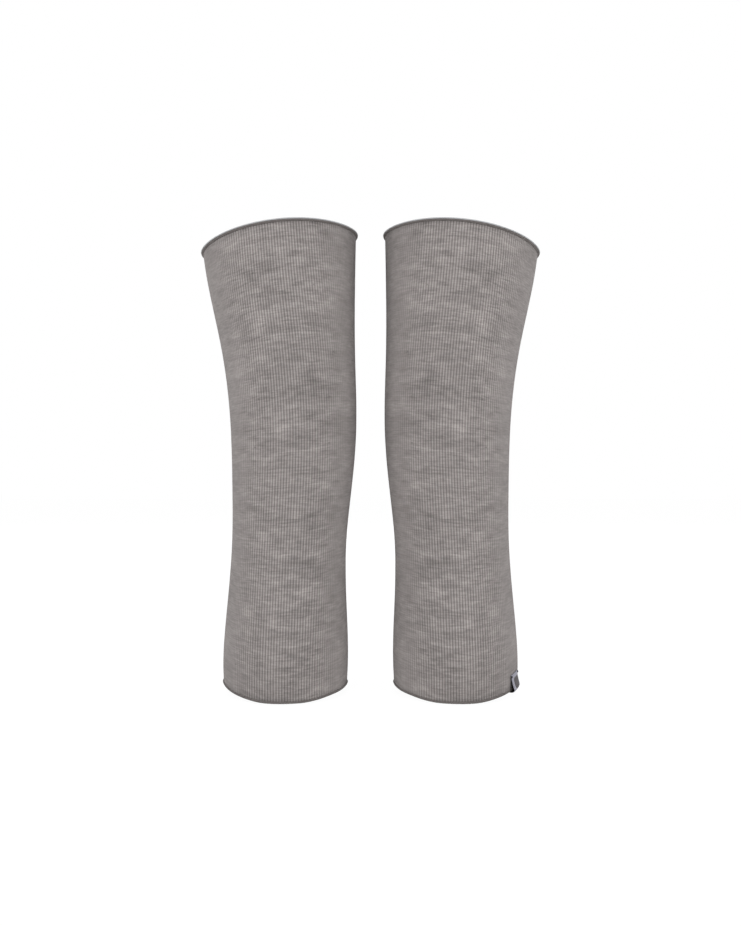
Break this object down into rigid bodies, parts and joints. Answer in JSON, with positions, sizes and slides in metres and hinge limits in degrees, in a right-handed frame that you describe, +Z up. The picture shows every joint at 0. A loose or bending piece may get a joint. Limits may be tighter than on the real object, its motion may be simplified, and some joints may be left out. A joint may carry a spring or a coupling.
{
  "type": "fingerless gloves",
  "caption": "Pair of fingerless gloves: open, tapered tubes of fine grey rib knit with rolled edges, worn from the knuckles over the wrist to the forearm.",
  "frame": {"origin": "middle of the base of the pair, on the surface that the gloves stand on", "axes": "+Z up, from the hand edges to the arm edges; -Y is the front; the right glove, with the label, is at +X"},
  "size_m": [0.181, 0.0849, 0.2466],
  "materials": {
    "rib_knit": "heather grey one-by-one rib knit, matt and slightly fuzzy",
    "edge_thread": "cool light grey overlock thread over the rolled edge",
    "seam_thread": "overlock thread and turned-in knit edges, inside",
    "label_ribbon": "woven satin ribbon, silver grey on its face and black on its reverse",
    "tack_thread": "dark polyester thread"
  },
  "bodies": {
    "left_glove": {"left_knit_panel": "rib_knit", "left_arm_edge": "edge_thread", "left_hand_edge": "edge_thread", "left_seam": "seam_thread"},
    "right_glove": {"right_knit_panel": "rib_knit", "right_arm_edge": "edge_thread", "right_hand_edge": "edge_thread", "right_seam": "seam_thread", "label": "label_ribbon", "label_tacks": "tack_thread"}
  },
  "joints": [
    {"name": "right_glove_lift", "type": "slide", "parent": "left_glove", "child": "right_glove", "axis": [0, 0, 1], "range_m": [0, 0.26]}
  ]
}
